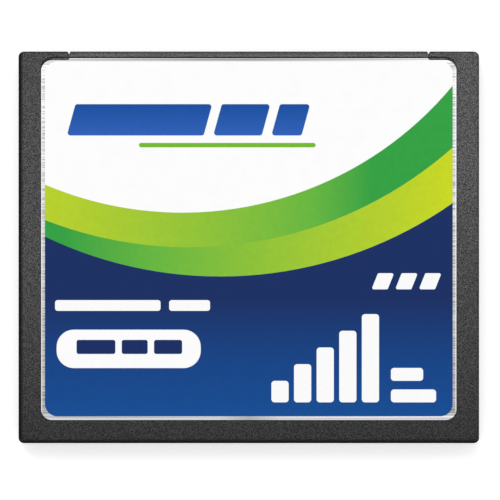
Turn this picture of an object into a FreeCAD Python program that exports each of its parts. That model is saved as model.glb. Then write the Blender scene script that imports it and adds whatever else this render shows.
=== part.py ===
import FreeCAD, Part
import collections
import math
import os
import re
import Sketcher

# A removable memory card of 42.8 x 36.4 x 3.3 mm with a fifty-way socket along one edge, in millimetres.
# It comes apart as a moulded frame, two pressed covers, the socket, and a circuit board with its parts.
# +X runs across the card, +Y towards the socket edge and +Z out of the label; the origin is the
# centre of the underside.

PINS_PER_ROW = 25
SOCKET_ROWS = 2
FLASH_LEADS_PER_END = 24
CONTROLLER_LEADS_PER_SIDE = 12
REGULATOR_LEADS = {1: 3, -1: 2}
CAPACITORS = 8
RESISTORS = 12
MOULD_DRAFT = 6

# Driving sizes
SIZES = {
    # Frame
    "rail_width": "2.05",
    "rear_bar_width": "2.1",
    "ledge_width": "1.0",
    "arm_thickness": "0.5",
    "corner_radius": "0.5",
    "edge_radius": "0.22",
    "edge_bevel": "0.18",
    "seat_radius": "1.05",
    "notch_width": "0.12",
    "notch_depth": "0.24",
    "wide_groove_height": "1.6",
    "narrow_groove_height": "0.99",
    "groove_front_depth": "1.01",
    "groove_front_length": "12.0",
    "groove_rear_depth": "0.57",
    "groove_length": "25.78",
    "groove_flare": "0.2",
    "nail_groove_width": "16.0",
    "nail_groove_depth": "0.5",
    "nail_groove_run": "1.2",
    "nail_lip": "0.55",
    "rest_reach": "0.8",
    "rest_length": "2.4",
    "lug_reach": "0.35",
    "lug_height": "0.6",
    "lug_length": "2.0",
    # Covers
    "cover_recess": "0.1",
    "cover_gauge": "0.15",
    "cover_gap": "0.03",
    "cover_edge_bevel": "0.03",
    "tongue_gap": "0.1",
    "shoulder_drop": "0.17",
    "tab_length": "4.0",
    "tab_drop": "0.8",
    "tab_gap": "0.06",
    "side_tab_spacing": "17.0",
    "rear_tab_spacing": "20.0",
    "tape_gauge": "0.05",
    "tape_width": "0.55",
    "tape_inset": "0.4",
    "tape_corner": "0.5",
    "film_gap": "0.2",
    # Label and print
    "label_margin": "0.38",
    "label_front_margin": "0.31",
    "label_gauge": "0.07",
    "label_radius": "1.15",
    "ink_gauge": "0.02",
    "white_left": "11.46",
    "white_right": "2.27",
    "upper_stripe_left": "3.29",
    "upper_stripe_right": "5.75",
    "lower_stripe_left": "1.54",
    "lower_stripe_right": "5.15",
    "upper_curve_radius": "32.6",
    "middle_curve_radius": "36.9",
    "lower_curve_radius": "37.6",
    "pill_length": "13.4",
    "pill_height": "3.58",
    "pill_radius": "1.6",
    "pill_left": "1.08",
    "pill_bottom": "4.47",
    # Socket
    "pin_pitch": "1.27",
    "row_pitch": "1.27",
    "strip_end": "1.45",
    "ear_shoulder": "1.61",
    "fit_gap": "0.05",
    "housing_depth": "5.6",
    "strip_edge_radius": "0.1",
    "lead_in_width": "0.8",
    "lead_in_depth": "0.18",
    "socket_width": "0.5",
    "socket_wall": "0.6",
    "cavity_width": "0.6",
    "cavity_height": "0.9",
    "ear_width": "1.5",
    "ear_length": "2.6",
    "peg_width": "0.65",
    "peg_height": "0.3",
    # Contacts
    "contact_width": "0.3",
    "tine_gap": "0.36",
    "tine_relief": "0.05",
    "tine_flare": "0.1",
    "tine_bump": "0.4",
    "tine_clearance": "0.05",
    "tine_length": "3.0",
    "tine_setback": "0.15",
    "tail_gauge": "0.15",
    "tail_run": "0.6",
    "foot_length": "1.1",
    # Circuit board
    "board_gauge": "0.5",
    "board_gap": "0.1",
    "board_clearance": "0.1",
    "board_corner": "0.6",
    "peg_hole_diameter": "1.0",
    "part_clearance": "0.05",
    "standoff": "0.05",
    # Chips
    "flash_length": "18.4",
    "flash_width": "12.0",
    "flash_height": "1.0",
    "flash_gap": "0.7",
    "flash_front_gap": "2.95",
    "controller_side": "7.0",
    "controller_height": "1.0",
    "lead_pitch": "0.5",
    "lead_width": "0.22",
    "lead_gauge": "0.125",
    "lead_run": "0.35",
    "lead_reach": "0.8",
    # Small parts
    "capacitor_length": "1.6",
    "capacitor_width": "0.8",
    "capacitor_end": "0.3",
    "capacitor_gap": "1.6",
    "capacitor_setback": "1.4",
    "resistor_length": "1.0",
    "resistor_width": "0.5",
    "resistor_height": "0.4",
    "resistor_end": "0.2",
    "resistor_gap": "1.7",
    "resistor_front_gap": "1.25",
    "resistor_edge_gap": "0.7",
    "crystal_length": "3.2",
    "crystal_width": "2.5",
    "crystal_height": "0.7",
    "crystal_radius": "0.4",
    "crystal_gap": "3.0",
    "regulator_length": "2.9",
    "regulator_width": "1.6",
    "regulator_height": "0.75",
    "regulator_lead_pitch": "0.95",
    "regulator_lead_width": "0.4",
    "regulator_lead_reach": "0.6",
    "regulator_gap": "3.0",
}

# Places worked out from the sizes, outwards from the contacts
PLACES = {
    "pin_half_span": f"{PINS_PER_ROW - 1} / 2 * pin_pitch",
    "strip_x": "pin_half_span + strip_end",
    "arm_x": "strip_x + fit_gap",
    "housing_x": "strip_x + ear_shoulder",
    "opening_x": "housing_x + fit_gap",
    "seat_x": "opening_x + ledge_width",
    "card_x": "seat_x + rail_width",
    "flash_reach": "flash_length / 2 + lead_reach",
    "flash_strip": "flash_front_gap + 2 * flash_reach",
    "resistor_strip": "resistor_front_gap + resistor_length + resistor_edge_gap",
    "contact_strip": "housing_depth + tail_run + foot_length",
    "opening_length": "contact_strip + flash_strip + resistor_strip + board_clearance",
    "front_y": "(opening_length + ledge_width + rear_bar_width) / 2",
    "arm_y": "front_y - arm_thickness",
    "housing_rear_y": "front_y - housing_depth",
    "board_front_y": "housing_rear_y - board_gap",
    "foot_front_y": "housing_rear_y - tail_run",
    "foot_rear_y": "foot_front_y - foot_length",
    "chip_y": "foot_rear_y - flash_front_gap - flash_reach",
    "resistor_y": "chip_y - flash_reach - resistor_front_gap - resistor_length / 2",
    "board_rear_y": "resistor_y - resistor_length / 2 - resistor_edge_gap",
    "opening_rear_y": "board_rear_y - board_clearance",
    "seat_rear_y": "opening_rear_y - ledge_width",
    "rear_y": "-(front_y)",
    "seat_depth": "cover_recess + cover_gauge + tape_gauge",
    "board_bottom_z": "seat_depth + part_clearance + controller_height + standoff",
    "middle_z": "board_bottom_z + board_gauge / 2",
    "board_top_z": "board_bottom_z + board_gauge",
    "upper_ledge_z": "board_top_z + standoff + flash_height + part_clearance",
    "card_thickness": "upper_ledge_z + seat_depth",
    "board_x": "opening_x - board_clearance",
    "cover_x": "seat_x - cover_gap",
    "cover_rear_y": "seat_rear_y + cover_gap",
    "tongue_y": "arm_y - tongue_gap",
    "shoulder_y": "tongue_y - shoulder_drop",
    "cover_radius": "seat_radius - cover_gap",
    "lip_rear_y": "shoulder_y + cover_gap",
    "lip_radius": "shoulder_drop - 2 * cover_gap",
    "label_x": "cover_x - label_margin",
    "label_rear_y": "cover_rear_y + label_margin",
    "label_front_y": "tongue_y - label_front_margin",
    "label_z": "card_thickness - cover_recess",
    "left_1": "label_front_y - white_left",
    "left_2": "left_1 - upper_stripe_left",
    "left_3": "left_2 - lower_stripe_left",
    "right_1": "label_front_y - white_right",
    "right_2": "right_1 - upper_stripe_right",
    "right_3": "right_2 - lower_stripe_right",
    "tape_x": "seat_x - tape_inset",
    "tape_front_y": "arm_y - tape_inset",
    "tape_rear_y": "seat_rear_y + tape_inset",
    "film_x": "tape_x - tape_width - film_gap",
    "film_front_y": "tape_front_y - tape_width - film_gap",
    "film_rear_y": "tape_rear_y + tape_width + film_gap",
    "tine_tip_y": "front_y - socket_wall - tine_setback",
    "fork_root_y": "tine_tip_y - tine_length",
    "ear_y": "housing_rear_y - ear_length / 2",
    "peg_x": "housing_x - ear_width / 2",
    "flash_x": "(flash_width + flash_gap) / 2",
    "controller_reach": "controller_side / 2 + lead_reach",
    "crystal_x": "controller_reach + crystal_gap + crystal_length / 2",
    "regulator_x": "controller_reach + regulator_gap + regulator_length / 2",
    "capacitor_pitch": "capacitor_width + capacitor_gap",
    "capacitor_y": "foot_rear_y - capacitor_setback - capacitor_length / 2",
    "resistor_pitch": "resistor_width + resistor_gap",
}

# A corner of an outline. It may be rounded, and the edge to the next corner may be an arc.
Corner = collections.namedtuple("Corner", "x y rounding arc turns_left", defaults=(None, None, True))

doc = FreeCAD.newDocument("memory_card")
sheet = doc.addObject("Spreadsheet::Sheet", "Sizes")
for row, (alias, number) in enumerate(SIZES.items(), 1):
    sheet.set(f"A{row}", alias)
    sheet.set(f"B{row}", number)
    sheet.setAlias(f"B{row}", alias)
doc.recompute()


def bound(text):
    """The expression with its places spelled out and its sizes read from the sheet."""

    def spell(match):
        word = match.group(0)
        if word in PLACES:
            return "(" + bound(PLACES[word]) + ")"
        return "Sizes." + word if word in SIZES else word

    return re.sub(r"[A-Za-z_]\w*", spell, text)


def value(text):
    """What the expression comes to."""
    return float(sheet.evalExpression(bound(text)))


def new_body(label, x="", y="", z="", flipped=False):
    """An empty body at a place; a flipped one hangs under its place instead of standing on it."""
    body = doc.addObject("PartDesign::Body", label)
    body.Label = label
    if flipped:
        body.Placement.Rotation = FreeCAD.Rotation(FreeCAD.Vector(1, 0, 0), 180)
    for axis, text in zip("xyz", (x, y, z)):
        if text:
            body.setExpression("Placement.Base." + axis, bound(text))
    return body


def origin_part(body, role):
    """The body's own plane or axis with this role."""
    return next(part for part in body.Origin.OriginFeatures if part.Role == role)


def new_sketch(body, name, plane="XY_Plane", offset=""):
    """An empty sketch on one of the body's own planes, moved along its normal by the offset."""
    sketch = body.newObject("Sketcher::SketchObject", name)
    sketch.AttachmentSupport = (origin_part(body, plane), [""])
    sketch.MapMode = "FlatFace"
    if offset:
        sketch.setExpression("AttachmentOffset.Base.z", bound(offset))
    return sketch


def tie(sketch, kind, geometry, text, point=None):
    """Binds a radius, or a point's distance from the sketch's origin, to an expression."""
    if point is None:
        rule = Sketcher.Constraint(kind, geometry, abs(value(text)))
    else:
        rule = Sketcher.Constraint(kind, -1, 1, geometry, point, value(text))
    index = sketch.addConstraint(rule)
    name = f"{kind}_{index}"
    sketch.renameConstraint(index, name)
    sketch.setExpression("Constraints." + name, bound(text))


def arc_between(start, end, radius, turns_left):
    """The short arc from start to end, and whether it runs the way that it was drawn."""
    middle = (start + end) / 2
    half = (end - start).Length / 2
    side = FreeCAD.Vector(start.y - end.y, end.x - start.x, 0).normalize()
    if not turns_left:
        side = -side
    centre = middle + side * math.sqrt(max(radius**2 - half**2, 0))
    first, last = (start, end) if turns_left else (end, start)
    angles = [math.atan2(p.y - centre.y, p.x - centre.x) for p in (first, last)]
    circle = Part.Circle(centre, FreeCAD.Vector(0, 0, 1), radius)
    return Part.ArcOfCircle(circle, *angles)


def unit_step(start, end):
    """The direction from one corner to the next, as two whole numbers for a line along an axis."""
    step = (end - start).normalize()
    return round(step.x), round(step.y)


def rounded_corner(corners, spots, i):
    """The two ends of the arc that rounds a corner, and whether it turns left."""
    x, y, radius = corners[i][:3]
    back = unit_step(spots[i], spots[i - 1])
    ahead = unit_step(spots[i], spots[(i + 1) % len(spots)])
    arrive = (f"{x} + {back[0]} * ({radius})", f"{y} + {back[1]} * ({radius})")
    leave = (f"{x} + {ahead[0]} * ({radius})", f"{y} + {ahead[1]} * ({radius})")
    return arrive, leave, back[1] * ahead[0] - back[0] * ahead[1] > 0


def draw(sketch, corners):
    """Draws a closed outline through the corners, whose places and radii are expressions."""
    corners = [Corner(*corner) for corner in corners]
    spots = [FreeCAD.Vector(value(c.x), value(c.y), 0) for c in corners]
    starts = []
    for i, corner in enumerate(corners):
        start = (corner.x, corner.y)
        if corner.rounding:
            arrive, start, turns_left = rounded_corner(corners, spots, i)
            starts.append((arrive, corner.rounding, turns_left))
        starts.append((start, corner.arc, corner.turns_left))
    drawn = []
    for i, (start, radius, turns_left) in enumerate(starts):
        end = starts[(i + 1) % len(starts)][0]
        a, b = (FreeCAD.Vector(value(p[0]), value(p[1]), 0) for p in (start, end))
        edge = arc_between(a, b, value(radius), turns_left) if radius else Part.LineSegment(a, b)
        index = sketch.addGeometry(edge, False)
        drawn.append((index, 1, 2) if turns_left or not radius else (index, 2, 1))
    for i, (index, first, last) in enumerate(drawn):
        after, after_first, _ = drawn[(i + 1) % len(drawn)]
        sketch.addConstraint(Sketcher.Constraint("Coincident", index, last, after, after_first))
        tie(sketch, "DistanceX", index, starts[i][0][0], first)
        tie(sketch, "DistanceY", index, starts[i][0][1], first)
        if starts[i][1]:
            tie(sketch, "Radius", index, starts[i][1])
    return sketch


def both_sides(corners):
    """An outline that is the same on both sides, from its right half's corners, rear to front."""
    right = [Corner(*corner) for corner in corners]
    left = []
    for before, corner in reversed(list(zip([Corner("", "")] + right, right))):
        left.append(Corner("-(" + corner.x + ")", corner.y, corner.rounding, before.arc, before.turns_left))
    return right + left


def draw_box(sketch, left, right, low, high, radius=None):
    """Draws a rectangle, with rounded corners if a radius is given."""
    corners = [(left, low), (right, low), (right, high), (left, high)]
    return draw(sketch, [(x, y, radius) for x, y in corners])


def draw_circle(sketch, x, y, radius):
    """Draws a circle."""
    centre = FreeCAD.Vector(value(x), value(y), 0)
    index = sketch.addGeometry(Part.Circle(centre, FreeCAD.Vector(0, 0, 1), value(radius)), False)
    tie(sketch, "DistanceX", index, x, 3)
    tie(sketch, "DistanceY", index, y, 3)
    tie(sketch, "Radius", index, radius)
    return sketch


def extrude(kind, body, name, sketch, length, symmetric=False, against=False, taper=0):
    """A Pad or Pocket of the sketch. It stops the build if the solid's volume stays the same."""
    before = body.Shape.Volume if body.Tip else 0
    feature = body.newObject("PartDesign::" + kind, name)
    feature.Profile = sketch
    feature.SideType = "Symmetric" if symmetric else "One side"
    feature.Reversed = against
    feature.TaperAngle = taper
    feature.setExpression("Length", bound(length))
    doc.recompute()
    if abs(body.Shape.Volume - before) < 1e-9:
        raise RuntimeError(f"{kind} {name} of {body.Label} changes nothing")
    return feature


def pad(body, name, sketch, length, **options):
    return extrude("Pad", body, name, sketch, length, **options)


def pocket(body, name, sketch, length, **options):
    return extrude("Pocket", body, name, sketch, length, **options)


def repeat(body, name, features, axis, count, pitch, second=None):
    """Copies the features along an axis, and along a second one where (axis, count, pitch) is given."""
    pattern = body.newObject("PartDesign::LinearPattern", name)
    pattern.Originals = features
    pattern.Direction = (origin_part(body, axis), [""])
    pattern.Occurrences = count
    pattern.setExpression("Length", bound(f"{count - 1} * ({pitch})"))
    if second:
        pattern.Direction2 = (origin_part(body, second[0]), [""])
        pattern.Occurrences2 = second[1]
        pattern.setExpression("Length2", bound(f"{second[1] - 1} * ({second[2]})"))
    body.Tip = pattern
    doc.recompute()
    return pattern


def dress(kind, body, name, size, chosen):
    """A Fillet or Chamfer on the edges of the last feature that the test picks."""
    base = body.Tip
    names = [f"Edge{i}" for i, edge in enumerate(base.Shape.Edges, 1) if chosen(edge)]
    feature = body.newObject("PartDesign::" + kind, name)
    feature.Base = (base, names)
    feature.setExpression("Radius" if kind == "Fillet" else "Size", bound(size))
    doc.recompute()
    return feature


def is_along(edge, axis):
    """Whether the edge is a straight line along the axis, 0 for X, 1 for Y and 2 for Z."""
    box = edge.BoundBox
    spans = [box.XLength, box.YLength, box.ZLength]
    return all((span > 1e-6) == (i == axis) for i, span in enumerate(spans))


def make_frame():
    """The moulded frame: two side rails, a rear bar, and arms that hook in front of the socket's ends."""
    body = new_body("card_frame")
    outline = new_sketch(body, "frame_outline")
    right_side = [
        ("card_x", "rear_y", "corner_radius"),
        ("card_x", "front_y", "corner_radius"),
        ("arm_x + notch_width", "front_y"),
        ("arm_x", "front_y - notch_depth"),
        ("arm_x", "arm_y"),
        ("opening_x", "arm_y"),
        ("opening_x", "opening_rear_y"),
    ]
    draw(outline, both_sides(right_side))
    pad(body, "frame_block", outline, "card_thickness")

    def is_outer(edge, height):
        if edge.BoundBox.ZLength > 1e-6 or abs(edge.BoundBox.ZMin - height) > 1e-6:
            return False
        half_width, half_length = value("card_x"), value("front_y")
        across = is_along(edge, 0) and abs(abs(edge.BoundBox.YMax) - half_length) < 1e-6
        along = is_along(edge, 1) and abs(abs(edge.BoundBox.XMax) - half_width) < 1e-6
        return across or along or hasattr(edge.Curve, "Radius")

    top = value("card_thickness")
    dress("Fillet", body, "upper_edges", "edge_radius", lambda edge: is_outer(edge, top))
    dress("Chamfer", body, "lower_edges", "edge_bevel", lambda edge: is_outer(edge, 0))
    for name, height, upward in (("upper", "card_thickness", False), ("lower", "", True)):
        seat = new_sketch(body, name + "_seat_outline", offset=height)
        draw_box(seat, "-(seat_x)", "seat_x", "seat_rear_y", "arm_y", "seat_radius")
        pocket(body, name + "_seat", seat, "seat_depth", against=upward)
        floor_height = "upper_ledge_z" if height else "seat_depth"
        slots = new_sketch(body, name + "_slot_outline", offset=floor_height)
        draw_tabs(slots, "tab_gap")
        pocket(body, name + "_tab_slots", slots, "tab_drop + tab_gap - tape_gauge", against=upward)
    cut_guide_groove(body, "wide_groove", -1, "wide_groove_height")
    cut_guide_groove(body, "narrow_groove", 1, "narrow_groove_height")
    cut_nail_groove(body)
    add_board_rests(body)
    add_board_lugs(body)
    return body


def draw_tabs(sketch, gap=""):
    """Draws the covers' tabs, or with a gap the slots that take them."""
    grow = f" + {gap}" if gap else ""
    shrink = f" - {gap}" if gap else ""
    edge_gap = " + cover_gap" if gap else ""
    for side in (1, -1):
        inner = f"{side} * (cover_x - cover_gauge{shrink})"
        outer = f"{side} * (cover_x{edge_gap})"
        left, right = (inner, outer) if side == 1 else (outer, inner)
        for end in (1, -1):
            middle = f"(seat_rear_y + arm_y) / 2 + {end} * side_tab_spacing / 2"
            low = f"{middle} - tab_length / 2{shrink}"
            high = f"{middle} + tab_length / 2{grow}"
            draw_box(sketch, left, right, low, high)
        middle = f"{side} * rear_tab_spacing / 2"
        low = "cover_rear_y" + (" - cover_gap" if gap else "")
        draw_box(
            sketch,
            f"{middle} - tab_length / 2{shrink}",
            f"{middle} + tab_length / 2{grow}",
            low,
            f"cover_rear_y + cover_gauge{grow}",
        )


def cut_guide_groove(body, name, side, height):
    """A groove in one rail, deeper and flared at the socket edge, which a host's rail slides into."""
    overrun = "rail_width"
    sketch = new_sketch(body, name + "_outline", offset="middle_z")
    inward = [
        (f"card_x + {overrun}", f"front_y + {overrun}"),
        ("card_x - groove_front_depth - groove_flare", f"front_y + {overrun}"),
        ("card_x - groove_front_depth - groove_flare", "front_y"),
        ("card_x - groove_front_depth", "front_y - 2 * groove_flare"),
        ("card_x - groove_front_depth", "front_y - groove_front_length"),
        ("card_x - groove_rear_depth", "front_y - groove_front_length"),
        ("card_x - groove_rear_depth", "front_y - groove_length"),
        (f"card_x + {overrun}", "front_y - groove_length"),
    ]
    draw(sketch, [(f"{side} * ({x})", y) for x, y in inward])
    pocket(body, name, sketch, height, symmetric=True)


def cut_nail_groove(body):
    """A ramped groove under the rear bar that leaves a lip for a fingernail to pull on."""
    sketch = new_sketch(body, "nail_groove_outline", plane="YZ_Plane")
    lip = "rear_y + nail_lip"
    below = "-(nail_groove_depth)"
    draw(sketch, [(lip, below), (lip, "nail_groove_depth"), (f"{lip} + 2 * nail_groove_run", below)])
    pocket(body, "nail_groove", sketch, "nail_groove_width", symmetric=True)


def add_board_rests(body):
    """Four blocks inside the rails that the circuit board lies on."""
    sketch = new_sketch(body, "rest_outline", offset="seat_depth")
    for side in (1, -1):
        for middle in ("chip_y", "board_rear_y + rest_length"):
            inner = f"{side} * (opening_x - rest_reach)"
            outer = f"{side} * (opening_x + ledge_width / 2)"
            left, right = (inner, outer) if side == 1 else (outer, inner)
            draw_box(sketch, left, right, f"{middle} - rest_length / 2", f"{middle} + rest_length / 2")
    pad(body, "board_rests", sketch, "board_bottom_z - seat_depth")


def add_board_lugs(body):
    """Snap lugs inside the rails that hold the circuit board down."""
    sketch = new_sketch(body, "lug_outline", plane="XZ_Plane", offset="-(chip_y)")
    low = "board_top_z + part_clearance"
    profile = [
        ("opening_x + ledge_width / 2", low),
        ("opening_x + ledge_width / 2", f"{low} + lug_height"),
        ("opening_x", f"{low} + lug_height"),
        ("opening_x - lug_reach", low),
    ]
    for side in (1, -1):
        draw(sketch, [(f"{side} * ({x})", z) for x, z in profile])
    pad(body, "board_lugs", sketch, "lug_length", symmetric=True)


def make_cover(label, inner_face, outward):
    """A pressed steel cover with bent tabs that drop into the frame's slots."""
    body = new_body(label)
    outline = new_sketch(body, label + "_outline", offset=inner_face)
    right_side = [
        ("cover_x", "cover_rear_y", "cover_radius"),
        ("cover_x", "shoulder_y", "cover_radius"),
        ("strip_x + shoulder_drop", "shoulder_y", None, "shoulder_drop", False),
        ("strip_x", "tongue_y"),
    ]
    draw(outline, both_sides(right_side))
    pad(body, label + "_plate", outline, "cover_gauge", against=outward < 0)
    outer_face = value(f"{inner_face} + {outward} * cover_gauge")
    dress(
        "Chamfer",
        body,
        label + "_edge",
        "cover_edge_bevel",
        lambda edge: abs(edge.BoundBox.ZMin - outer_face) + abs(edge.BoundBox.ZMax - outer_face) < 1e-6,
    )
    tabs = new_sketch(body, label + "_tab_outline", offset=inner_face)
    draw_tabs(tabs)
    pad(body, label + "_tabs", tabs, "tab_drop", against=outward > 0)
    return body


def make_tape(label, height):
    """A ring of adhesive tape with cut corners, between a cover and the ledge around the opening."""
    body = new_body(label)
    sketch = new_sketch(body, label + "_outline", offset=height)
    right_side = [
        ("tape_x - tape_corner", "tape_rear_y"),
        ("tape_x", "tape_rear_y + tape_corner"),
        ("tape_x", "tape_front_y - tape_corner"),
        ("tape_x - tape_corner", "tape_front_y"),
    ]
    draw(sketch, both_sides(right_side))
    inner_x = "(tape_x - tape_width)"
    draw_box(sketch, "-" + inner_x, inner_x, "tape_rear_y + tape_width", "tape_front_y - tape_width")
    pad(body, label + "_ring", sketch, "tape_gauge")
    return body


def make_insulator(label, height):
    """A film inside a cover that keeps it off the circuit."""
    body = new_body(label)
    sketch = new_sketch(body, label + "_outline", offset=height)
    draw_box(sketch, "-(film_x)", "film_x", "film_rear_y", "film_front_y")
    pad(body, label + "_film", sketch, "tape_gauge")
    return body


def make_label():
    """The sticker on the top cover."""
    body = new_body("front_label")
    sketch = new_sketch(body, "label_outline", offset="label_z")
    draw_box(sketch, "-(label_x)", "label_x", "label_rear_y", "label_front_y", "label_radius")
    pad(body, "label_sheet", sketch, "label_gauge")
    return body


def make_stripe(label, upper, upper_radius, lower, lower_radius):
    """A stripe of ink across the label between two shallow curves, numbered from the top."""
    body = new_body(label)
    sketch = new_sketch(body, label + "_outline", offset="label_z + label_gauge")
    draw(
        sketch,
        [
            ("-(label_x)", f"left_{lower}", None, lower_radius),
            ("label_x", f"right_{lower}"),
            ("label_x", f"right_{upper}", None, upper_radius, False),
            ("-(label_x)", f"left_{upper}"),
        ],
    )
    pad(body, label + "_ink", sketch, "ink_gauge")
    return body


def make_field():
    """The field of ink over the label's rear, with a clear window."""
    body = new_body("blue_field_print")
    sketch = new_sketch(body, "blue_field_outline", offset="label_z + label_gauge")
    draw(
        sketch,
        [
            ("-(label_x)", "label_rear_y", "label_radius"),
            ("label_x", "label_rear_y", "label_radius"),
            ("label_x", "right_3", None, "lower_curve_radius", False),
            ("-(label_x)", "left_3"),
        ],
    )
    left = "-(label_x) + pill_left"
    low = "label_rear_y + pill_bottom"
    draw_box(sketch, left, f"{left} + pill_length", low, f"{low} + pill_height", "pill_radius")
    pad(body, "blue_field_ink", sketch, "ink_gauge")
    return body


def make_socket_housing():
    """The socket's moulding, whose front strip fills the gap between the frame's arms."""
    body = new_body("socket_housing")
    block = new_sketch(body, "block_outline", offset="seat_depth")
    behind_arm = "arm_y - fit_gap"
    right_side = [
        ("housing_x", "housing_rear_y"),
        ("housing_x", behind_arm),
        ("strip_x", behind_arm),
        ("strip_x", "arm_y"),
    ]
    draw(block, both_sides(right_side))
    pad(body, "socket_block", block, "upper_ledge_z - seat_depth")
    strip = new_sketch(body, "strip_outline")
    right_side = [
        ("strip_x", "arm_y"),
        ("strip_x", "front_y - notch_depth"),
        ("strip_x - notch_width", "front_y"),
    ]
    draw(strip, both_sides(right_side))
    pad(body, "front_strip", strip, "card_thickness")
    front = value("front_y")
    dress(
        "Fillet",
        body,
        "strip_edges",
        "strip_edge_radius",
        lambda edge: is_along(edge, 0) and abs(edge.BoundBox.YMin - front) < 1e-6,
    )
    add_lips(body)
    add_ears(body)
    cut_sockets(body)
    return body


def add_lips(body):
    """Lips that fill the covers' shoulders, beside the tongue that reaches up to the front strip."""
    sketch = new_sketch(body, "lip_outline", offset="cover_recess")
    for side in (1, -1):
        round_end, square_end = f"{side} * (strip_x + cover_gap)", f"{side} * (housing_x)"
        corners = [
            (round_end, "lip_rear_y", "lip_radius"),
            (square_end, "lip_rear_y"),
            (square_end, "tongue_y"),
            (round_end, "tongue_y"),
        ]
        draw(sketch, corners if side == 1 else corners[::-1])
    pad(body, "lips", sketch, "card_thickness - 2 * cover_recess")


def add_ears(body):
    """Two ears that reach under the circuit board, each with a square peg that wedges in a round hole."""
    ears = new_sketch(body, "ear_outline", offset="seat_depth")
    pegs = new_sketch(body, "peg_outline", offset="board_bottom_z")
    for side in (1, -1):
        inner = f"{side} * (housing_x - ear_width)"
        outer = f"{side} * (housing_x)"
        left, right = (inner, outer) if side == 1 else (outer, inner)
        draw_box(ears, left, right, "housing_rear_y - ear_length", "housing_rear_y")
        left, right = (f"{side} * (peg_x) {sign} peg_width / 2" for sign in "-+")
        draw_box(pegs, left, right, "ear_y - peg_width / 2", "ear_y + peg_width / 2")
    pad(body, "ears", ears, "board_bottom_z - seat_depth")
    pad(body, "pegs", pegs, "board_gauge + peg_height")


def cut_sockets(body):
    """The square holes: a lead-in, a short throat and a cavity behind it for the contact."""
    cuts = []
    steps = [
        ("lead_in", "front_y", "lead_in_width", "lead_in_width", "lead_in_depth"),
        ("throat", "front_y", "socket_width", "socket_width", "socket_wall"),
        ("cavity", "front_y - socket_wall", "cavity_width", "cavity_height", "housing_depth - socket_wall"),
    ]
    for name, face, width, height, depth in steps:
        sketch = new_sketch(body, name + "_outline", plane="XZ_Plane", offset=f"-({face})")
        left = f"-(pin_half_span) - {width} / 2"
        low = f"middle_z - row_pitch / 2 - {height} / 2"
        draw_box(sketch, left, f"{left} + {width}", low, f"{low} + {height}")
        cut = pocket(body, name, sketch, depth, against=True)
        if name == "lead_in":
            slope = "(lead_in_width - socket_width) / 2 / lead_in_depth"
            cut.setExpression("TaperAngle", "-atan(" + bound(slope) + ")")
        cuts.append(cut)
    rows = ("Z_Axis", SOCKET_ROWS, "row_pitch")
    repeat(body, "sockets", cuts, "X_Axis", PINS_PER_ROW, "pin_pitch", rows)


def make_contacts(label, side):
    """A row of forked contacts, pressed into their cavities, with tails bent to one face of the board."""
    body = new_body(label)
    sketch = new_sketch(body, label + "_outline", plane="YZ_Plane", offset="-(pin_half_span)")
    base = "cavity_height / 2"
    outer = "(cavity_height / 2 - tine_clearance)"
    tip = "(tine_gap / 2 + tine_flare)"
    grip = "tine_gap / 2"
    root = "(tine_gap / 2 + tine_relief)"
    tail = "tail_gauge / 2"
    foot = "(board_gauge / 2 - row_pitch / 2)"
    corners = [
        ("housing_rear_y", "-" + base),
        ("tine_tip_y", "-" + outer),
        ("tine_tip_y", "-" + tip),
        ("tine_tip_y - tine_bump", "-" + grip),
        ("fork_root_y", "-" + root),
        ("fork_root_y", root),
        ("tine_tip_y - tine_bump", grip),
        ("tine_tip_y", tip),
        ("tine_tip_y", outer),
        ("housing_rear_y", base),
        ("housing_rear_y", tail),
        ("foot_front_y - tail_gauge", foot + " + tail_gauge"),
        ("foot_rear_y", foot + " + tail_gauge"),
        ("foot_rear_y", foot),
        ("foot_front_y", foot),
        ("housing_rear_y", "-" + tail),
    ]
    draw(sketch, [(y, f"middle_z + {side} * (row_pitch / 2 + {z})") for y, z in corners])
    contact = pad(body, label + "_blank", sketch, "contact_width", symmetric=True)
    repeat(body, label + "_row", [contact], "X_Axis", PINS_PER_ROW, "pin_pitch")
    return body


def make_board():
    """The circuit board, with holes for the socket's pegs."""
    body = new_body("circuit_board")
    sketch = new_sketch(body, "board_outline", offset="board_bottom_z")
    right_side = [
        ("board_x - board_corner", "board_rear_y"),
        ("board_x", "board_rear_y + board_corner"),
        ("board_x", "board_front_y"),
    ]
    draw(sketch, both_sides(right_side))
    for side in (1, -1):
        draw_circle(sketch, f"{side} * (peg_x)", "ear_y", "peg_hole_diameter / 2")
    pad(body, "board_sheet", sketch, "board_gauge")
    return body


def make_chip(label, place, flipped, width, length, height):
    """A moulded chip package, whose walls lean in from the parting line halfway up."""
    body = new_body(label, *place, flipped=flipped)
    sketch = new_sketch(body, label + "_outline", offset=f"standoff + {height} / 2")
    draw_box(sketch, f"-{width} / 2", f"{width} / 2", f"-{length} / 2", f"{length} / 2")
    pad(body, label + "_cope", sketch, f"{height} / 2", taper=-MOULD_DRAFT)
    pad(body, label + "_drag", sketch, f"{height} / 2", taper=-MOULD_DRAFT, against=True)
    return body


def draw_lead(sketch, root, way, height, reach):
    """Draws a lead's side: down from the chip's wall to the board, and along it."""
    level = f"standoff + {height} / 2"
    runs = [
        ("0", f"{level} - lead_gauge / 2"),
        ("lead_run", "0"),
        (reach, "0"),
        (reach, "lead_gauge"),
        ("lead_run + lead_gauge", "lead_gauge"),
        ("0", f"{level} + lead_gauge / 2"),
    ]
    draw(sketch, [(f"{way} * ({root} + {run})", z) for run, z in runs])


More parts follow.
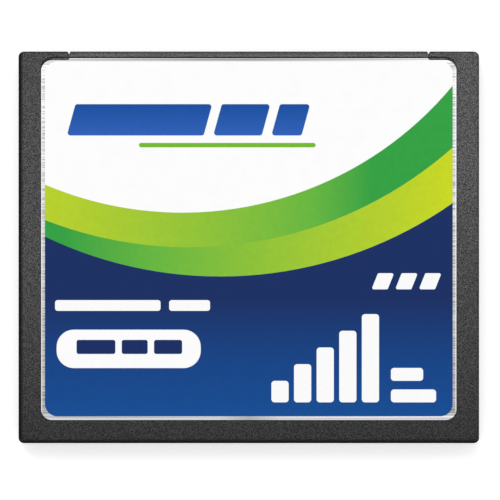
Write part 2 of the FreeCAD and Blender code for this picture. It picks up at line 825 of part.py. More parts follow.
def add_lead_row(body, name, plane, axis, ways, root, count, pitch, width, height, reach):
    """A row of leads along one wall of a chip, or along two opposite walls."""
    sketch = new_sketch(body, name + "_outline", plane=plane, offset=f"{count - 1} / 2 * {pitch}")
    for way in ways:
        draw_lead(sketch, root, way, height, reach)
    lead = pad(body, name, sketch, width, symmetric=True)
    pattern = repeat(body, name + "_row", [lead], axis, count, pitch)
    pattern.Reversed = plane == "YZ_Plane"


def make_flash_leads(label, place):
    """The leads at both ends of a flash chip."""
    body = new_body(label, *place)
    walls = ("YZ_Plane", "X_Axis", (1, -1), "flash_length / 2")
    lead = (FLASH_LEADS_PER_END, "lead_pitch", "lead_width", "flash_height", "lead_reach")
    add_lead_row(body, label + "_lead", *walls, *lead)
    return body


def make_controller_leads(place):
    """The leads on all four sides of the controller."""
    body = new_body("controller_leads", *place, flipped=True)
    for plane, axis in (("YZ_Plane", "X_Axis"), ("XZ_Plane", "Y_Axis")):
        walls = (plane, axis, (1, -1), "controller_side / 2")
        lead = (CONTROLLER_LEADS_PER_SIDE, "lead_pitch", "lead_width", "controller_height", "lead_reach")
        add_lead_row(body, "controller_" + axis[0].lower() + "_lead", *walls, *lead)
    return body


def make_regulator_leads(place):
    """The regulator's leads, three on one side and two on the other."""
    body = new_body("regulator_leads", *place, flipped=True)
    for way, count in REGULATOR_LEADS.items():
        walls = ("YZ_Plane", "X_Axis", (way,), "regulator_width / 2")
        pitch = f"(regulator_lead_pitch * {(max(REGULATOR_LEADS.values()) - 1) / (count - 1)})"
        name = f"regulator_lead_{count}"
        width = "regulator_lead_width"
        add_lead_row(body, name, *walls, count, pitch, width, "regulator_height", "regulator_lead_reach")
    return body


def make_crystal(place):
    """The clock crystal's flat metal can."""
    body = new_body("crystal", *place, flipped=True)
    sketch = new_sketch(body, "crystal_outline")
    half_length, half_width = "crystal_length / 2", "crystal_width / 2"
    draw_box(sketch, "-" + half_length, half_length, "-" + half_width, half_width, "crystal_radius")
    pad(body, "crystal_can", sketch, "crystal_height")
    return body


def make_row(kind, place, flipped, count, height):
    """A row of small two-ended parts: one body of middles, and one of their metal ends."""
    bodies = []
    first_x = f"-{count - 1} / 2 * {kind}_pitch"
    half_width = f"{kind}_width / 2"
    inner, outer = f"({kind}_length / 2 - {kind}_end)", f"{kind}_length / 2"
    spans = {"_bodies": [("-" + inner, inner)], "_ends": [("-" + outer, "-" + inner), (inner, outer)]}
    for name, stretches in spans.items():
        body = new_body(kind + name, *place, flipped=flipped)
        sketch = new_sketch(body, f"{kind}{name}_outline")
        for low, high in stretches:
            draw_box(sketch, f"{first_x} - {half_width}", f"{first_x} + {half_width}", low, high)
        block = pad(body, f"{kind}{name}_block", sketch, height)
        repeat(body, f"{kind}{name}_row", [block], "X_Axis", count, f"{kind}_pitch")
        bodies.append(body)
    return bodies


def make_board_parts():
    """The chips and small parts on the circuit board, with the chips' leads."""
    left = ("-(flash_x)", "chip_y", "board_top_z")
    right = ("flash_x", "chip_y", "board_top_z")
    controller = ("", "chip_y", "board_bottom_z")
    regulator = ("-(regulator_x)", "chip_y", "board_bottom_z")
    crystal = ("crystal_x", "chip_y", "board_bottom_z")
    flash_sizes = ("flash_width", "flash_length", "flash_height")
    controller_sizes = ("controller_side", "controller_side", "controller_height")
    regulator_sizes = ("regulator_length", "regulator_width", "regulator_height")
    return [
        make_chip("left_flash_chip", left, False, *flash_sizes),
        make_flash_leads("left_flash_leads", left),
        make_chip("right_flash_chip", right, False, *flash_sizes),
        make_flash_leads("right_flash_leads", right),
        make_chip("controller_chip", controller, True, *controller_sizes),
        make_controller_leads(controller),
        make_chip("regulator", regulator, True, *regulator_sizes),
        make_regulator_leads(regulator),
        make_crystal(crystal),
        *make_row("capacitor", ("", "capacitor_y", "board_bottom_z"), True, CAPACITORS, "capacitor_width"),
        *make_row("resistor", ("", "resistor_y", "board_top_z"), False, RESISTORS, "resistor_height"),
    ]


def export(bodies):
    """Stops on a failed or empty object, then writes each sub-part to its own file."""
    doc.recompute()
    for item in doc.Objects:
        if {"Invalid", "Error"} & set(item.State):
            raise RuntimeError(f"{item.Label} is {item.State}")
    os.makedirs("parts", exist_ok=True)
    for body in bodies:
        if body.Shape.isNull() or not body.Shape.isValid() or not body.Shape.Solids:
            raise RuntimeError(f"{body.Label} has no valid solid")
        body.Shape.exportStep(f"parts/{body.Label}.step")
        print(body.Label, len(body.Shape.Solids), round(body.Shape.Volume, 3))


def main():
    upper_film, lower_film = "upper_ledge_z", "seat_depth - tape_gauge"
    bodies = [
        make_frame(),
        make_cover("top_cover", "upper_ledge_z + tape_gauge", 1),
        make_cover("bottom_cover", "seat_depth - tape_gauge", -1),
        make_tape("top_cover_tape", upper_film),
        make_tape("bottom_cover_tape", lower_film),
        make_insulator("top_insulator", upper_film),
        make_insulator("bottom_insulator", lower_film),
        make_label(),
        make_stripe("upper_stripe_print", 1, "upper_curve_radius", 2, "middle_curve_radius"),
        make_stripe("lower_stripe_print", 2, "middle_curve_radius", 3, "lower_curve_radius"),
        make_field(),
        make_socket_housing(),
        make_contacts("upper_contacts", 1),
        make_contacts("lower_contacts", -1),
        make_board(),
    ]
    export(bodies + make_board_parts())


main()
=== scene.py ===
import math
from typing import NamedTuple

import bmesh
import bpy
from bpy.props import FloatProperty, FloatVectorProperty, PointerProperty
from bpy.types import NodeSocket, Operator, Panel, PropertyGroup
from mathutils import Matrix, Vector


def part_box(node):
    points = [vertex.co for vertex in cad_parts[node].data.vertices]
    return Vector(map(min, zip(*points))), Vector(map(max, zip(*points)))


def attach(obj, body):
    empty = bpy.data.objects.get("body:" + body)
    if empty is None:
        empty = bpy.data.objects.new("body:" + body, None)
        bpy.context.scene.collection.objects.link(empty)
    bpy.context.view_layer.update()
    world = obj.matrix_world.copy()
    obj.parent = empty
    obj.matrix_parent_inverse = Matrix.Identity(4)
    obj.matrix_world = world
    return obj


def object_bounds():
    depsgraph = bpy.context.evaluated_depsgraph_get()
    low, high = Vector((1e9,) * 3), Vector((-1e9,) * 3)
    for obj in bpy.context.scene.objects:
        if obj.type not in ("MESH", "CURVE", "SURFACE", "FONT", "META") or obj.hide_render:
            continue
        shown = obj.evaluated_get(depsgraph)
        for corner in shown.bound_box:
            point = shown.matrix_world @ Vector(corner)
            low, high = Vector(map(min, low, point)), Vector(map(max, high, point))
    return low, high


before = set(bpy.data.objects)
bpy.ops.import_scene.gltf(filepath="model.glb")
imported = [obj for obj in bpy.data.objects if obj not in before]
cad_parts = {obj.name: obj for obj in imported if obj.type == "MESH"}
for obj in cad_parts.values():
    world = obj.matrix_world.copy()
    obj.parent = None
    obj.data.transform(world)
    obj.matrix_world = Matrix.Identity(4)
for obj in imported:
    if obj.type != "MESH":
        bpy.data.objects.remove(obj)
CAD_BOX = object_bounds()

bl_info = {
    "name": "Memory Card",
    "version": (1, 0, 0),
    "blender": (4, 5, 0),
    "location": "3D View > Sidebar > Memory Card",
    "description": "Finishes, label print and stage for a removable memory card",
    "category": "Object",
}

MM = 0.001
LABEL_LOW, LABEL_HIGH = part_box("front_label")
BLUE_LOW, BLUE_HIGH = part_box("blue_field_print")
FRAME_LOW, FRAME_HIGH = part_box("card_frame")
COVER_LOW, COVER_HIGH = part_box("top_cover")

# The stage, in metres. The floor's glow is added only where the camera or a reflection sees it.
KEY_LAMP_PLACE = (-0.12, 0.45, 0.7)
FILL_LAMP_PLACE = (0.4, -0.35, 0.7)
LAMP_WIDTH = 0.6
FLOOR_RADIUS = 1.5
FLOOR_GREY = 0.86
FLOOR_GLOW = 0.42
SENSOR_WIDTH_MM = 36


def linear(red, green, blue):
    """A colour as picked on screen, 0 to 255, in the linear values that shaders take."""

    def channel(level):
        level /= 255
        return level / 12.92 if level <= 0.04045 else ((level + 0.055) / 1.055) ** 2.4

    return (channel(red), channel(green), channel(blue))


def greys(*stops):
    """Ramp stops, each from a place between 0 and 1 and a grey level."""
    return [(place, (level, level, level)) for place, level in stops]


# Painted light on the frame: its colour's level from its rear, 0, to its front, 1, along its left and its
# right side.
PAINTED_LIGHT_LEFT = greys((0.0, 0.36), (0.1, 0.49), (0.5, 0.84), (0.74, 0.84), (1.0, 0.82))
PAINTED_LIGHT_RIGHT = greys((0.0, 0.36), (0.1, 0.48), (0.5, 0.86), (0.74, 1.12), (1.0, 1.12))
# Painted light on the steel: its colour's level from the middle of a cover, 0, to its sides, 1.
PAINTED_LIGHT_STEEL = greys((0.0, 0.52), (0.25, 0.6), (0.6, 0.76), (1.0, 1.0))


def bar(left, foot, right, top, lean, rounding):
    """The outline of a bar with rounded corners, in millimetres; a leaning one's top is further right."""
    corners = [(left, foot), (right, foot), (right + lean, top), (left + lean, top)]
    outline = []
    for index, corner in enumerate(corners):
        here = Vector(corner)
        before = (Vector(corners[index - 1]) - here).normalized()
        after = (Vector(corners[(index + 1) % 4]) - here).normalized()
        opening = before.angle(after)
        run = rounding / math.tan(opening / 2)
        start, end = here + before * run, here + after * run
        centre = here + (before + after).normalized() * (rounding / math.sin(opening / 2))
        first = math.atan2(start.y - centre.y, start.x - centre.x)
        turn = (math.atan2(end.y - centre.y, end.x - centre.x) - first) % math.tau
        for part in range(9):
            angle = first + turn * part / 8
            outline.append(centre + Vector((math.cos(angle), math.sin(angle))) * rounding)
    return outline


class Row(NamedTuple):
    """Printed bars side by side, in millimetres; each span is one bar's left and right."""

    spans: tuple
    foot: float
    top: float
    rounding: float
    lean: float = 0.0

    def outlines(self):
        return [bar(left, self.foot, right, self.top, self.lean, self.rounding) for left, right in self.spans]


BANNER = Row(((-16.9, -4.2), (-3.3, 1.2), (2.1, 4.9)), foot=10.4, top=13.3, rounding=0.25, lean=0.8)
RULE = Row(((-10.2, 6.2),), foot=9.3, top=9.7, rounding=0.19)
WINDOW_BARS = Row(((-16.0, -12.4), (-11.8, -9.4), (-8.8, -6.2)), foot=-9.9, top=-8.6, rounding=0.2)
WHITE_ROWS = [
    Row(((-18.0, -8.2), (-7.4, -3.6)), foot=-5.9, top=-4.9, rounding=0.25),
    Row([(11.4 + 2.2 * n, 12.9 + 2.2 * n) for n in range(3)], foot=-3.9, top=-2.4, rounding=0.15, lean=0.6),
    *[
        Row(((2.1 + 2.1 * n, 3.7 + 2.1 * n),), foot=-14.4, top=-12.4 + 1.55 * n, rounding=0.3)
        for n in range(5)
    ],
    Row(((13.2, 17.4),), foot=-14.4, top=-13.2, rounding=0.3),
    Row(((13.2, 16.2),), foot=-12.4, top=-11.2, rounding=0.3),
]


def colour(name, description, red, green, blue):
    return FloatVectorProperty(
        name=name,
        description=description,
        subtype="COLOR",
        default=linear(red, green, blue),
        min=0,
        max=1,
    )


def length(name, description, millimetres):
    return FloatProperty(
        name=name,
        description=description,
        unit="LENGTH",
        default=millimetres * MM,
        min=0.001 * MM,
        precision=6,
    )


class PlasticSettings(PropertyGroup):
    """The frame's and the socket's mouldings"""

    graphite: colour("Graphite", "Colour between the grains of the moulded plastic", 24, 24, 24)
    grain: colour("Grain", "Colour of the raised grains", 116, 116, 117)
    # The rim colour is painted shade along the frame's outer edges.
    rim: colour("Rim", "Colour of the rubbed, darker edges", 6, 6, 6)
    strip: colour("Strip", "Colour of the socket's moulding", 92, 92, 93)
    grain_size: length("Grain size", "Width of one grain of the moulded texture", 0.1)
    grain_depth: length("Grain depth", "Height of the grains", 0.012)
    rim_width: length("Rim width", "Width of the darker band along the outer edges", 0.4)


class SteelSettings(PropertyGroup):
    """The brushed covers"""

    steel: colour("Steel", "Colour of the bright brushed steel", 248, 248, 249)
    streak: colour("Streak", "Colour of the brushing's darker lines", 168, 169, 171)
    streak_width: length("Streak width", "Width of one brushed line", 0.1)
    streak_length: length("Streak length", "Length of one brushed line", 60.0)


class PrintSettings(PropertyGroup):
    """The label and what is printed on it"""

    vinyl: colour("Vinyl", "Colour of the white label", 254, 254, 254)
    lemon: colour("Lemon", "Lightest end of the lower stripe", 205, 220, 34)
    lime: colour("Lime", "Light part of the stripes", 188, 213, 44)
    leaf: colour("Leaf", "Middle of the stripes", 131, 193, 60)
    grass: colour("Grass", "Deeper part of the stripes", 106, 186, 65)
    emerald: colour("Emerald", "Dark end of the stripes", 53, 163, 68)
    navy: colour("Navy", "Front of the blue field", 25, 47, 100)
    cobalt: colour("Cobalt", "Middle of the blue field", 20, 68, 135)
    royal: colour("Royal", "Rear of the blue field", 20, 78, 150)
    banner_rear: colour("Banner, rear", "Rear of the large blue bars", 48, 98, 186)
    banner_front: colour("Banner, front", "Front of the large blue bars", 20, 80, 160)
    rule_green: colour("Rule", "Colour of the thin green rule", 120, 190, 50)
    mark_white: colour("White marks", "Colour of the bars on the blue field", 254, 254, 254)
    mark_gauge: length("Mark gauge", "Thickness of the bars on the blue field", 0.008)


class InsideSettings(PropertyGroup):
    """The pieces inside the card"""

    solder_mask: colour("Solder mask", "Colour of the circuit board", 18, 84, 48)
    laminate_dark: colour("Laminate, dark", "Darker threads of the board's bare edges", 150, 140, 84)
    laminate_pale: colour("Laminate, pale", "Paler threads of the board's bare edges", 196, 186, 122)
    gold: colour("Gold", "Colour of the plated contacts", 236, 190, 98)
    tin: colour("Tin", "Colour of the soldered leads", 196, 198, 202)
    can: colour("Can", "Colour of the crystal's can", 206, 206, 208)
    epoxy: colour("Epoxy", "Colour of the chips' packages", 30, 30, 32)
    ceramic: colour("Ceramic", "Colour of the capacitors", 168, 132, 92)
    glaze: colour("Glaze", "Colour of the resistors", 20, 20, 24)
    tape: colour("Tape", "Colour of the adhesive tape", 222, 218, 204)
    film: colour("Film", "Colour of the insulating film", 196, 128, 28)


class StageSettings(PropertyGroup):
    """The light and the camera"""

    picture_width: length("Picture width", "Width of what the camera sees at the card's top", 46.45)
    camera_height: length("Camera height", "Height of the camera over the card", 600.0)
    camera_x: FloatProperty(
        name="Camera across",
        description="Where the camera stands across the card",
        unit="LENGTH",
        default=0.112 * MM,
        precision=6,
    )
    camera_y: FloatProperty(
        name="Camera along",
        description="Where the camera stands along the card",
        unit="LENGTH",
        default=-0.246 * MM,
        precision=6,
    )
    sky: FloatProperty(name="Sky", description="Level of the even light", default=0.61, min=0)
    key: FloatProperty(name="Key lamp", description="Power of the key lamp", unit="POWER", default=2.6)
    fill: FloatProperty(name="Fill lamp", description="Power of the fill lamp", unit="POWER", default=1.0)


class Finish:
    """A material while its nodes are being laid out."""

    def __init__(self, name, **sockets):
        self.material = bpy.data.materials.new(name)
        self.material.use_nodes = True
        tree = self.material.node_tree
        self.nodes = tree.nodes
        self.links = tree.links
        self.shader = self.nodes["Principled BSDF"]
        for socket, level in sockets.items():
            self.set(socket.replace("_", " "), level)
        coordinates = self.add("TexCoord")
        self.point = coordinates.outputs["Object"]
        self.normal = coordinates.outputs["Normal"]

    def set(self, socket, level):
        """Sets the shader's socket of that name, in small or capital letters, to a plain value."""
        matching = [s for s in self.shader.inputs if s.name.lower() == socket.lower()]
        matching[0].default_value = level

    def feed(self, socket, source):
        self.links.new(source, self.shader.inputs[socket])

    def plug(self, source, socket):
        """Links a node's output to the socket, or sets a plain value on it."""
        if isinstance(source, NodeSocket):
            self.links.new(source, socket)
        else:
            socket.default_value = source

    def add(self, kind, inputs=None, **settings):
        """A new node, with its own settings and with a source or a plain value for each named input."""
        node = self.nodes.new("ShaderNode" + kind)
        for name, level in settings.items():
            setattr(node, name, level)
        for name, source in (inputs or {}).items():
            self.plug(source, node.inputs[name])
        return node

    def stretched(self, x, y, z):
        """The point with its axes scaled, so that a texture of size 1 has these sizes."""
        return self.add("Mapping", {"Vector": self.point, "Scale": (1 / x, 1 / y, 1 / z)}).outputs[0]

    def noise(self, point=None, size=1.0, detail=2.0, roughness=0.5, distortion=0.0):
        inputs = {
            "Vector": point or self.point,
            "Scale": 1 / size,
            "Detail": detail,
            "Roughness": roughness,
            "Distortion": distortion,
        }
        return self.add("TexNoise", inputs).outputs["Fac"]

    def ramp(self, level, *stops):
        """A colour or grey read from the level; each stop is a place and a colour."""
        node = self.add("ValToRGB", {"Fac": level})
        elements = node.color_ramp.elements
        while len(elements) < len(stops):
            elements.new(1.0)
        for element, (place, shade) in zip(elements, stops):
            element.position = place
            element.color = (*shade, 1)
        return node.outputs["Color"]

    def step(self, level, start, end, low=0.0, high=1.0):
        """Goes evenly from low to high while the level goes from start to end, and stays there beyond."""
        inputs = {"Value": level, "From Min": start, "From Max": end, "To Min": low, "To Max": high}
        return self.add("MapRange", inputs).outputs["Result"]

    def mix(self, share, first, second):
        """The first colour where the share is 0, and the second where it is 1."""
        node = self.add("Mix", data_type="RGBA")
        inputs = {socket.name: socket for socket in node.inputs if socket.enabled}
        self.links.new(share, inputs["Factor"])
        for name, shade in (("A", first), ("B", second)):
            self.plug(shade if isinstance(shade, NodeSocket) else (*shade, 1), inputs[name])
        return next(socket for socket in node.outputs if socket.enabled)

    def scale(self, shade, share):
        return self.add("VectorMath", {"Vector": shade, "Scale": share}, operation="SCALE").outputs["Vector"]

    def axis(self, name, vector=None):
        return self.add("SeparateXYZ", {"Vector": vector or self.point}).outputs[name]

    def calculate(self, operation, first, second=0.0):
        node = self.add("Math", operation=operation)
        self.plug(first, node.inputs[0])
        self.plug(second, node.inputs[1])
        return node.outputs[0]

    def lines(self, name, pitch):
        """1 on evenly spaced lines across the named axis, each a third of the pitch wide, else 0."""
        wave = self.calculate("PINGPONG", self.axis(name), pitch / 2)
        return self.step(wave, pitch / 6, pitch / 5, 1.0, 0.0)

    def faces_up(self, start, end):
        """1 where the surface looks up or down, 0 where it is upright."""
        return self.step(self.calculate("ABSOLUTE", self.axis("Z", self.normal)), start, end)

    def raise_surface(self, height, depth):
        self.feed("Normal", self.add("Bump", {"Height": height, "Distance": depth}).outputs["Normal"])


def shaded(shade, share):
    """The colour with each channel multiplied by the share."""
    return [channel * share for channel in shade]


def graphite_plastic(settings):
    """Spark-eroded moulding: worm-like grains, a few pale ones, and painted shade along the edges.

    Its colour also holds painted light: darker towards the rear, and brighter at the right front than at the
    left front.
    """
    finish = Finish("graphite_plastic", roughness=0.6, specular_ior_level=0.09)
    size = settings.grain_size
    winding = finish.noise(size=size * 2.2, detail=1, distortion=0.6)
    ridge = finish.calculate("ABSOLUTE", finish.calculate("SUBTRACT", winding, 0.5))
    speck = finish.noise(size=size, detail=2, roughness=0.6)
    worms = finish.calculate("ADD", speck, finish.step(ridge, 0.0, 0.1, 0.1, -0.1))
    body = finish.ramp(worms, (0.3, settings.graphite), (0.7, settings.grain))
    pale = finish.step(finish.noise(size=size * 0.7, detail=1), 0.7, 0.8)
    body = finish.mix(pale, body, shaded(settings.grain, 1.5))
    along = finish.step(finish.axis("Y"), FRAME_LOW.y, FRAME_HIGH.y)
    across = finish.step(finish.axis("X"), FRAME_LOW.x, FRAME_HIGH.x)
    # Painted light: the colour is scaled darker towards the rear and lighter at the right front.
    painted_light = finish.mix(across, finish.ramp(along, *PAINTED_LIGHT_LEFT), finish.ramp(along, *PAINTED_LIGHT_RIGHT))
    body = finish.scale(body, painted_light)
    # Painted shade darkens the edges to the rim colour.
    finish.feed("Base Color", finish.mix(painted_edge_shade(finish, settings.rim_width), body, settings.rim))
    finish.feed("Roughness", finish.step(worms, 0.3, 0.7, 0.7, 0.5))
    finish.raise_surface(worms, settings.grain_depth)
    return finish.material


def painted_edge_shade(finish, width):
    """How much painted shade darkens the edges: widest along the rear and the wide groove's side."""
    x, y = finish.axis("X"), finish.axis("Y")
    left = finish.step(x, FRAME_LOW.x + width * 0.45, FRAME_LOW.x + width * 1.25, 1.0, 0.0)
    rear = finish.step(y, FRAME_LOW.y + width * 0.4, FRAME_LOW.y + width * 1.15, 1.0, 0.0)
    right = finish.step(x, FRAME_HIGH.x - width / 2, FRAME_HIGH.x, 0.0, 0.85)
    front = finish.step(y, FRAME_HIGH.y - width / 2, FRAME_HIGH.y, 0.0, 0.9)
    nearest = left
    for edge_shade in (rear, right, front):
        nearest = finish.calculate("MAXIMUM", nearest, edge_shade)
    return finish.calculate("MULTIPLY", nearest, finish.faces_up(0.0, 0.2))


def socket_plastic(settings):
    """Smooth moulding whose grains are drawn out along the front, with painted shade over its rounded edge.
    """
    finish = Finish("socket_plastic", roughness=0.6, specular_ior_level=0.09)
    size = settings.grain_size
    grains = finish.noise(finish.stretched(size * 2.0, size, size), detail=2, roughness=0.6)
    flow = finish.noise(finish.stretched(size * 24, size * 1.5, size * 1.5), detail=1)
    grains = finish.calculate("ADD", grains, finish.step(flow, 0.3, 0.7, -0.06, 0.06))
    body = finish.ramp(grains, (0.32, shaded(settings.strip, 0.4)), (0.68, shaded(settings.strip, 1.7)))
    # Painted shade: darker over the rounded front edge.
    edge_shade = finish.step(finish.axis("Y"), FRAME_HIGH.y - 0.26 * MM, FRAME_HIGH.y - 0.12 * MM, 1.0, 0.55)
    finish.feed("Base Color", finish.scale(body, edge_shade))
    finish.feed("Roughness", finish.step(grains, 0.3, 0.7, 0.68, 0.5))
    finish.raise_surface(grains, settings.grain_depth / 2)
    return finish.material


def brushed_steel(settings):
    """Steel brushed from side to side, with painted light: palest at the front, darker across its middle,
    lighter along its rear edge, and a painted highlight along each side.
    """
    finish = Finish("brushed_steel", roughness=0.3, metallic=1.0)
    width, run = settings.streak_width, settings.streak_length
    lines = finish.noise(finish.stretched(run, width, width), detail=2, roughness=0.6)
    body = finish.ramp(lines, (0.4, settings.streak), (0.6, settings.steel))
    # Painted light: palest at the front, darker across the middle.
    across = finish.calculate("ABSOLUTE", finish.axis("X"))
    middle = finish.ramp(finish.step(across, 0, COVER_HIGH.x), *PAINTED_LIGHT_STEEL)
    front = finish.step(finish.axis("Y"), COVER_LOW.y, COVER_HIGH.y, 0.52, 1.02)
    painted_light = finish.calculate("MULTIPLY", middle, front)
    # Painted light: lighter along the rear edge, less so in the middle.
    rear = finish.step(finish.axis("Y"), COVER_LOW.y + 0.4 * MM, COVER_LOW.y + 0.9 * MM, 0.88, 0.3)
    rear = finish.calculate("MULTIPLY", rear, finish.step(across, 0, 3 * MM, 0.66, 1.0))
    body = finish.scale(body, finish.calculate("MAXIMUM", painted_light, rear))
    # Painted highlight along each side's rolled edge, in the plain steel colour.
    rolled = finish.step(across, COVER_HIGH.x - 0.14 * MM, COVER_HIGH.x - 0.1 * MM, 0.0, 0.6)
    finish.feed("Base Color", finish.mix(rolled, body, settings.steel))
    finish.feed("Roughness", finish.step(lines, 0.3, 0.7, 0.38, 0.22))
    finish.raise_surface(lines, 0.003 * MM)
    return finish.material


def white_vinyl(settings):
    """Satin film with a faint mottle and a fine peel."""
    finish = Finish("white_vinyl", roughness=0.42, specular_ior_level=0.2)
    mottle = finish.noise(size=1.2 * MM, detail=3)
    duller = shaded(settings.vinyl, 0.985)
    finish.feed("Base Color", finish.ramp(mottle, (0.3, duller), (0.55, settings.vinyl)))
    finish.feed("Roughness", finish.step(mottle, 0.3, 0.7, 0.38, 0.46))
    finish.raise_surface(finish.noise(size=0.25 * MM, detail=2), 0.001 * MM)
    return finish.material


def gradient_ink(name, axis, low, high, stops):
    """Slightly cloudy ink whose colour changes along the named axis, from low to high."""
    finish = Finish(name, roughness=0.36, specular_ior_level=0.06)
    hue = finish.ramp(finish.step(finish.axis(axis), low, high), *stops)
    cloud = finish.noise(size=0.5 * MM, detail=4, roughness=0.6)
    finish.feed("Base Color", finish.mix(finish.step(cloud, 0.35, 0.7, 0.0, 0.06), hue, (0, 0, 0)))
    finish.feed("Roughness", finish.step(cloud, 0.3, 0.7, 0.3, 0.42))
    finish.raise_surface(finish.noise(size=0.25 * MM, detail=2), 0.001 * MM)
    return finish.material


def flat_ink(name, shade, wear=0.9):
    """Ink of one colour; where it is thin, the wear is the share of the colour that is left."""
    finish = Finish(name, roughness=0.38, specular_ior_level=0.06)
    cloud = finish.noise(size=0.3 * MM, detail=4)
    finish.feed("Base Color", finish.ramp(cloud, (0.3, shaded(shade, wear)), (0.7, shade)))
    finish.feed("Roughness", finish.step(cloud, 0.3, 0.7, 0.32, 0.44))
    finish.raise_surface(finish.noise(size=0.2 * MM, detail=2), 0.001 * MM)
    return finish.material


def plated(name, shade, roughness):
    """Plated metal with faint rolling lines and small stains."""
    finish = Finish(name, roughness=roughness, metallic=1.0)
    stain = finish.noise(size=0.5 * MM, detail=4)
    finish.feed("Base Color", finish.ramp(stain, (0.3, shaded(shade, 0.72)), (0.62, shade)))
    rolled = finish.noise(finish.stretched(0.02 * MM, 0.6 * MM, 0.02 * MM), detail=2)
    finish.feed("Roughness", finish.step(rolled, 0.3, 0.7, roughness + 0.12, roughness - 0.06))
    finish.raise_surface(rolled, 0.001 * MM)
    return finish.material


def epoxy_package(settings):
    """Filled epoxy with a fine sparkle in a matt surface."""
    finish = Finish("epoxy_package", roughness=0.62, specular_ior_level=0.2)
    filler = finish.noise(size=0.06 * MM, detail=3, roughness=0.7)
    sparkle = shaded(settings.epoxy, 2.2)
    finish.feed("Base Color", finish.ramp(filler, (0.35, settings.epoxy), (0.72, sparkle)))
    finish.feed("Roughness", finish.step(filler, 0.3, 0.7, 0.7, 0.5))
    finish.raise_surface(filler, 0.006 * MM)
    return finish.material


def circuit_board(settings):
    """Green mask over runs of copper in two directions, with plated vias whose bores are painted shade, and
    bare laminate edges.
    """
    patch_size, trace_pitch, via_pitch = 3.2 * MM, 0.36 * MM, 1.5 * MM
    finish = Finish("solder_mask", roughness=0.3, specular_ior_level=0.3, coat_weight=0.2, coat_roughness=0.1)
    patches = finish.add(
        "TexVoronoi", {"Vector": finish.point, "Scale": 1 / patch_size}, distance="CHEBYCHEV"
    )
    choice = finish.axis("X", patches.outputs["Color"])
    lengthwise = finish.step(choice, 0.5, 0.501)
    lengthwise = finish.calculate("MULTIPLY", finish.lines("X", trace_pitch), lengthwise)
    crosswise = finish.step(choice, 0.5, 0.501, 1.0, 0.0)
    crosswise = finish.calculate("MULTIPLY", finish.lines("Y", trace_pitch), crosswise)
    trace = finish.calculate("MAXIMUM", lengthwise, crosswise)
    mask = finish.mix(trace, settings.solder_mask, shaded(settings.solder_mask, 1.5))
    vias = finish.add("TexVoronoi", {"Vector": finish.point, "Scale": 1 / via_pitch})
    ring = finish.step(vias.outputs["Distance"], 0.13, 0.15, 1.0, 0.0)
    # Painted shade: each via's bore is nearly black.
    bore_shade = finish.step(vias.outputs["Distance"], 0.06, 0.08, 1.0, 0.0)
    chosen = finish.step(finish.axis("Y", vias.outputs["Color"]), 0.6, 0.601)
    via = finish.mix(bore_shade, settings.tin, shaded(settings.tin, 0.02))
    mask = finish.mix(finish.calculate("MULTIPLY", ring, chosen), mask, via)
    weave = finish.noise(finish.stretched(0.4 * MM, 0.4 * MM, 0.03 * MM), detail=2)
    laminate = finish.ramp(weave, (0.35, settings.laminate_dark), (0.65, settings.laminate_pale))
    finish.feed("Base Color", finish.mix(finish.faces_up(0.4, 0.6), laminate, mask))
    finish.raise_surface(trace, 0.02 * MM)
    return finish.material


def speckled(name, shade, roughness, size, depth):
    """A fired surface with fine tonal speckle."""
    finish = Finish(name, roughness=roughness)
    speck = finish.noise(size=size, detail=3, roughness=0.6)
    finish.feed("Base Color", finish.ramp(speck, (0.3, shaded(shade, 0.7)), (0.7, shade)))
    finish.feed("Roughness", finish.step(speck, 0.3, 0.7, roughness + 0.08, roughness - 0.08))
    finish.raise_surface(speck, depth)
    return finish.material


def clear_film(name, shade, roughness):
    """Thin tinted film, slightly cloudy, with shallow ripples from being laid down."""
    finish = Finish(name, roughness=roughness, ior=1.5)
    ripple = finish.noise(finish.stretched(3 * MM, 5 * MM, 1 * MM), detail=2)
    finish.feed("Base Color", finish.ramp(ripple, (0.3, shaded(shade, 0.8)), (0.7, shade)))
    finish.feed("Roughness", finish.step(ripple, 0.3, 0.7, roughness + 0.06, roughness))
    finish.raise_surface(ripple, 0.01 * MM)
    return finish.material


def dress(material, *nodes):
    """Gives the material to every slot of the named CAD nodes."""
    for name in nodes:
        for material_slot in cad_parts[name].material_slots:
            material_slot.material = material


def print_marks(name, outlines, z, gauge, material):
    """One object of flat printed shapes, which stand on z and are as thick as the gauge."""
    shapes = bmesh.new()
    for outline in outlines:
        face = shapes.faces.new([shapes.verts.new((p.x * MM, p.y * MM, z)) for p in outline])
        raised = bmesh.ops.extrude_face_region(shapes, geom=[face])
        top = [v for v in raised["geom"] if isinstance(v, bmesh.types.BMVert)]
        bmesh.ops.translate(shapes, verts=top, vec=(0, 0, gauge))
    bmesh.ops.recalc_face_normals(shapes, faces=shapes.faces)
    mesh = bpy.data.meshes.new(name)
    shapes.to_mesh(mesh)
    shapes.free()
    mesh.materials.append(material)
    marks = bpy.data.objects.new(name, mesh)
    bpy.context.scene.collection.objects.link(marks)
    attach(marks, "root")


class MEMORYCARD_OT_frame(Operator):
    """Gives the moulded frame its grained graphite plastic"""

    bl_idname = "memorycard.frame"
    bl_label = "Moulded Frame"

    def execute(self, context):
        dress(graphite_plastic(context.scene.memorycard_plastic), "card_frame")
        return {"FINISHED"}


class MEMORYCARD_OT_covers(Operator):
    """Gives the two pressed covers their brushed steel, and the tape and film under them theirs"""

    bl_idname = "memorycard.covers"
    bl_label = "Steel Covers"

    def execute(self, context):
        inside = context.scene.memorycard_inside
        dress(brushed_steel(context.scene.memorycard_steel), "top_cover", "bottom_cover")
        dress(clear_film("adhesive_tape", inside.tape, 0.55), "top_cover_tape", "bottom_cover_tape")
        dress(clear_film("amber_film", inside.film, 0.2), "top_insulator", "bottom_insulator")
        return {"FINISHED"}


